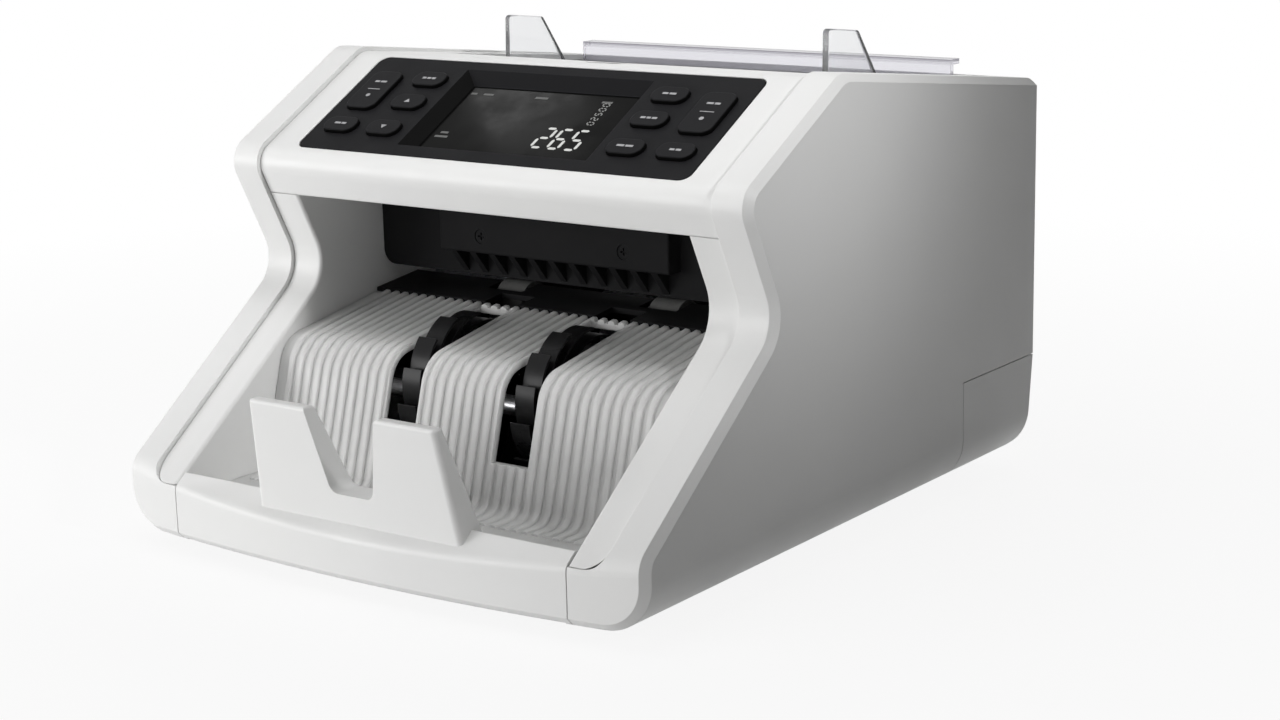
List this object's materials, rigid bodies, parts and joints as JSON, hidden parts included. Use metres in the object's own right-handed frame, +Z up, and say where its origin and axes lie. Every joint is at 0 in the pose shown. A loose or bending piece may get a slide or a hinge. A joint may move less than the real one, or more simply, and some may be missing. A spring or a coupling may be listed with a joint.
{
  "type": "banknote counting machine",
  "caption": "Desktop banknote counter with a rear-fed top hopper, sloped control panel with display and keys, stacker wheels in a ribbed ramp and a forked front stop.",
  "frame": {"origin": "on the table, under the middle of the machine's box", "axes": "+X to the machine's right as seen from its front, +Y to its rear, +Z up"},
  "size_m": [0.252, 0.2964, 0.1913],
  "materials": {
    "white_plastic": "satin moulded plastic",
    "pale_grey_plastic": "satin ribbed plastic",
    "black_panel": "fine-grained satin",
    "grey_keys": "soft satin keys",
    "dark_glass": "polished window",
    "display": "dark display panel",
    "black_plastic": "matt moulded plastic",
    "clear_plastic": "clear moulded plastic",
    "smoke_plastic": "translucent tinted plastic",
    "black_rubber": "ground rubber",
    "steel": "bright plated",
    "bush_brass": "sintered",
    "board_green": "lacquered board",
    "supply_case": "pressed sheet"
  },
  "bodies": {
    "machine": {"base_pan": "black_plastic", "rubber_feet": "black_rubber", "right_side_cover": "white_plastic", "left_side_cover": "white_plastic", "right_column": "white_plastic", "left_column": "white_plastic", "stacker_front": "white_plastic", "stacker_ramp": "pale_grey_plastic", "control_housing": "white_plastic", "control_panel": "black_panel", "display_lens": "dark_glass", "display_module": "display", "keypad_board": "board_green", "throat_panel": "black_plastic", "exit_plate": "black_plastic", "top_cover": "white_plastic", "hopper_tray": "black_plastic", "guide_rail": "steel", "hopper_rear_plate": "smoke_plastic", "rear_cover": "white_plastic", "power_inlet": "black_plastic", "switch_frame": "black_plastic", "data_ports": "steel", "cover_screws": "steel", "left_chassis_plate": "steel", "right_chassis_plate": "steel", "shaft_bushes": "bush_brass", "retard_rollers": "black_rubber", "drive_motor": "steel", "drive_belt": "black_rubber", "transport_belt": "black_rubber", "main_board": "board_green", "power_supply": "supply_case"},
    "key_left_tall": {"key_left_tall": "grey_keys"},
    "key_left_top": {"key_left_top": "grey_keys"},
    "key_left_middle": {"key_left_middle": "grey_keys"},
    "key_left_low_inner": {"key_left_low_inner": "grey_keys"},
    "key_left_low_outer": {"key_left_low_outer": "grey_keys"},
    "key_right_tall": {"key_right_tall": "grey_keys"},
    "key_right_top": {"key_right_top": "grey_keys"},
    "key_right_middle": {"key_right_middle": "grey_keys"},
    "key_right_low_inner": {"key_right_low_inner": "grey_keys"},
    "key_right_low_outer": {"key_right_low_outer": "grey_keys"},
    "gap_knob": {"gap_adjust_knob": "black_plastic"},
    "guide_left": {"hopper_guide_left": "clear_plastic"},
    "guide_right": {"hopper_guide_right": "clear_plastic"},
    "power_rocker": {"switch_rocker": "black_plastic"},
    "feed_roll": {"feed_shaft": "steel", "feed_rollers": "black_rubber", "feed_pulley": "black_plastic"},
    "pickup_roll": {"pickup_shaft": "steel", "pickup_rollers": "black_rubber", "pickup_pulley": "black_plastic"},
    "transport_roll": {"transport_shaft": "black_plastic", "transport_rollers": "black_rubber"},
    "stacker_roll": {"stacker_shaft": "steel", "stacker_wheels": "black_plastic", "stacker_pulley": "black_plastic"},
    "motor_roll": {"motor_pulley": "black_plastic"},
    "pinch_roll": {"pinch_rollers": "black_rubber"}
  },
  "joints": [
    {"name": "key_left_tall_press", "type": "slide", "parent": "machine", "child": "key_left_tall", "axis": [0, 0.479, -0.8778], "range_m": [0, 0.0008], "stiffness_N_per_m": 400},
    {"name": "key_left_top_press", "type": "slide", "parent": "machine", "child": "key_left_top", "axis": [0, 0.479, -0.8778], "range_m": [0, 0.0008], "stiffness_N_per_m": 400},
    {"name": "key_left_middle_press", "type": "slide", "parent": "machine", "child": "key_left_middle", "axis": [0, 0.479, -0.8778], "range_m": [0, 0.0008], "stiffness_N_per_m": 400},
    {"name": "key_left_low_inner_press", "type": "slide", "parent": "machine", "child": "key_left_low_inner", "axis": [0, 0.479, -0.8778], "range_m": [0, 0.0008], "stiffness_N_per_m": 400},
    {"name": "key_left_low_outer_press", "type": "slide", "parent": "machine", "child": "key_left_low_outer", "axis": [0, 0.479, -0.8778], "range_m": [0, 0.0008], "stiffness_N_per_m": 400},
    {"name": "key_right_tall_press", "type": "slide", "parent": "machine", "child": "key_right_tall", "axis": [0, 0.479, -0.8778], "range_m": [0, 0.0008], "stiffness_N_per_m": 400},
    {"name": "key_right_top_press", "type": "slide", "parent": "machine", "child": "key_right_top", "axis": [0, 0.479, -0.8778], "range_m": [0, 0.0008], "stiffness_N_per_m": 400},
    {"name": "key_right_middle_press", "type": "slide", "parent": "machine", "child": "key_right_middle", "axis": [0, 0.479, -0.8778], "range_m": [0, 0.0008], "stiffness_N_per_m": 400},
    {"name": "key_right_low_inner_press", "type": "slide", "parent": "machine", "child": "key_right_low_inner", "axis": [0, 0.479, -0.8778], "range_m": [0, 0.0008], "stiffness_N_per_m": 400},
    {"name": "key_right_low_outer_press", "type": "slide", "parent": "machine", "child": "key_right_low_outer", "axis": [0, 0.479, -0.8778], "range_m": [0, 0.0008], "stiffness_N_per_m": 400},
    {"name": "gap_knob_turn", "type": "hinge", "parent": "machine", "child": "gap_knob", "pos_m": [0, 0.017, 0.17], "axis": [0, 0, 1], "range_deg": [-150, 150]},
    {"name": "guide_left_slide", "type": "slide", "parent": "machine", "child": "guide_left", "axis": [1, 0, 0], "range_m": [-0.009, 0.03]},
    {"name": "guide_right_slide", "type": "slide", "parent": "machine", "child": "guide_right", "axis": [1, 0, 0], "range_m": [-0.03, 0.009]},
    {"name": "power_rocker_tip", "type": "hinge", "parent": "machine", "child": "power_rocker", "pos_m": [0.046, 0.1425, 0.078], "axis": [1, 0, 0], "range_deg": [0, 12]},
    {"name": "feed_spin", "type": "hinge", "parent": "machine", "child": "feed_roll", "pos_m": [0, 0.037, 0.097], "axis": [1, 0, 0], "continuous": true},
    {"name": "pickup_spin", "type": "hinge", "parent": "machine", "child": "pickup_roll", "pos_m": [0, 0.088, 0.1215], "axis": [1, 0, 0], "continuous": true},
    {"name": "transport_spin", "type": "hinge", "parent": "machine", "child": "transport_roll", "pos_m": [0, 0.006, 0.079], "axis": [1, 0, 0], "continuous": true},
    {"name": "stacker_spin", "type": "hinge", "parent": "machine", "child": "stacker_roll", "pos_m": [0, -0.046, 0.0505], "axis": [1, 0, 0], "continuous": true},
    {"name": "motor_spin", "type": "hinge", "parent": "machine", "child": "motor_roll", "pos_m": [0, 0.092, 0.048], "axis": [1, 0, 0], "continuous": true},
    {"name": "pinch_spin", "type": "hinge", "parent": "machine", "child": "pinch_roll", "pos_m": [0, 0.006, 0.0955], "axis": [1, 0, 0], "continuous": true}
  ],
  "couplings": [
    {"joint": "pickup_spin", "follows": "feed_spin", "ratio": 1.3604},
    {"joint": "stacker_spin", "follows": "feed_spin", "ratio": 0.7156},
    {"joint": "motor_spin", "follows": "feed_spin", "ratio": 1.495},
    {"joint": "transport_spin", "follows": "feed_spin", "ratio": 2.4459},
    {"joint": "pinch_spin", "follows": "feed_spin", "ratio": -3.1448}
  ]
}
